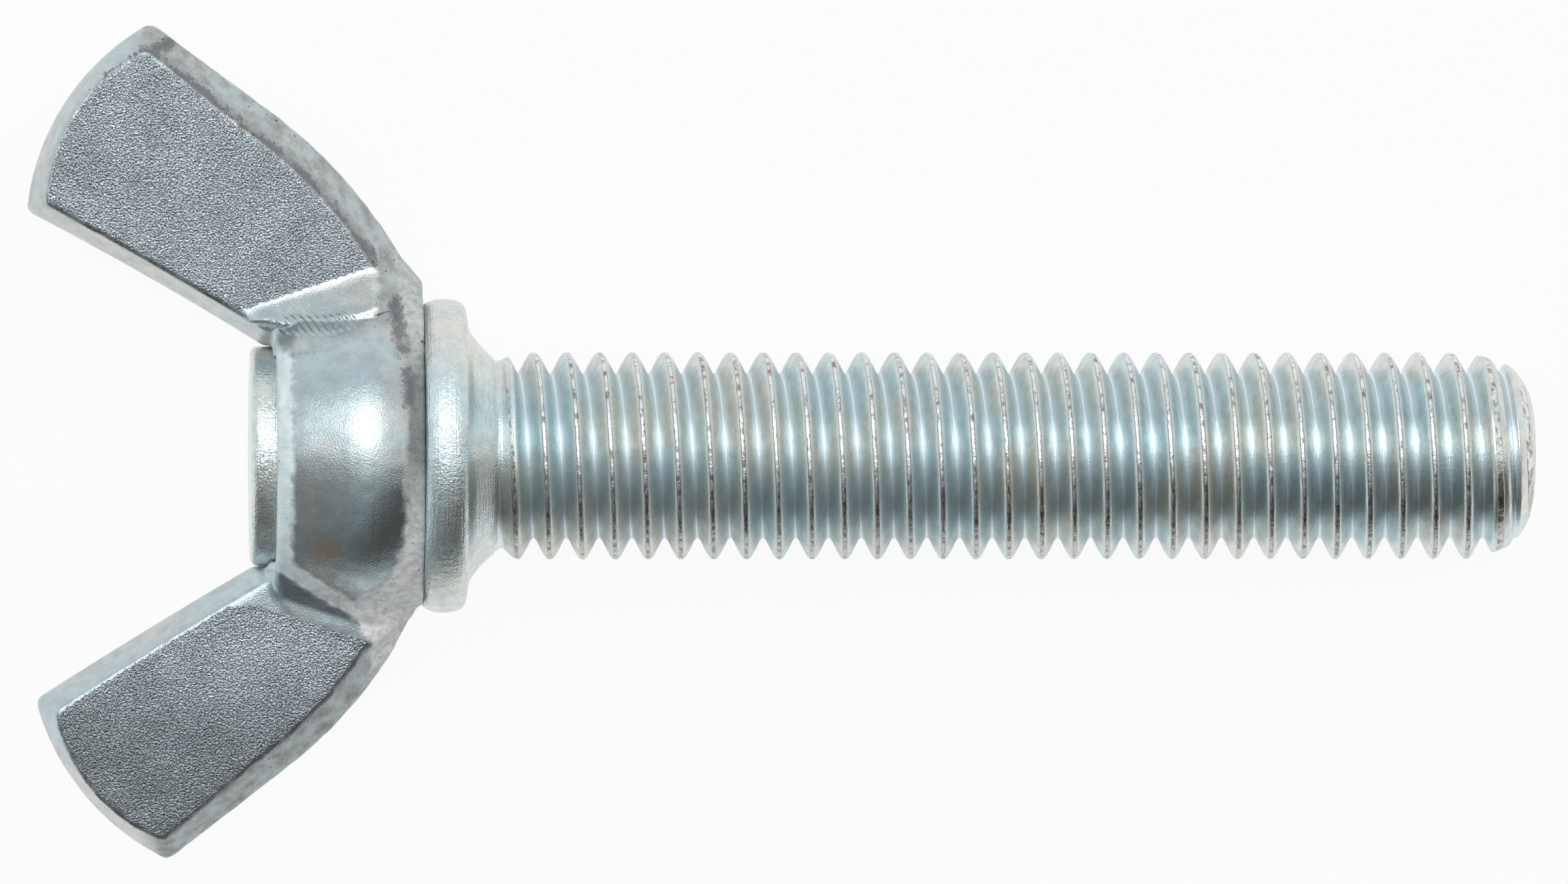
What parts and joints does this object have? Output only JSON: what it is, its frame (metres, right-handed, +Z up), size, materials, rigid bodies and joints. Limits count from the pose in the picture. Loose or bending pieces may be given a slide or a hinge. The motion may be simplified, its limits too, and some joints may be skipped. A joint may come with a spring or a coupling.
{
  "type": "wing screw",
  "caption": "Wing screw: a coarse-threaded steel shank with a round collar and narrowed neck, riveted into a forged two-winged head for turning by hand.",
  "frame": {"origin": "bottom centre of the box round the screw as it lies on a floor", "axes": "+X towards the threaded point (3 degrees below level), wings along Y with the +Y wing's tip on the floor, +Z up"},
  "size_m": [0.0576, 0.0302, 0.0127],
  "materials": {
    "wing_head": "bright zinc plate over a forged steel skin, smooth rounded edges and pebbled wing faces",
    "threaded_screw": "bright zinc plate over turned and rolled steel, satin thread flanks"
  },
  "bodies": {
    "root": {"wing_head": "wing_head", "threaded_screw": "threaded_screw"}
  },
  "joints": []
}
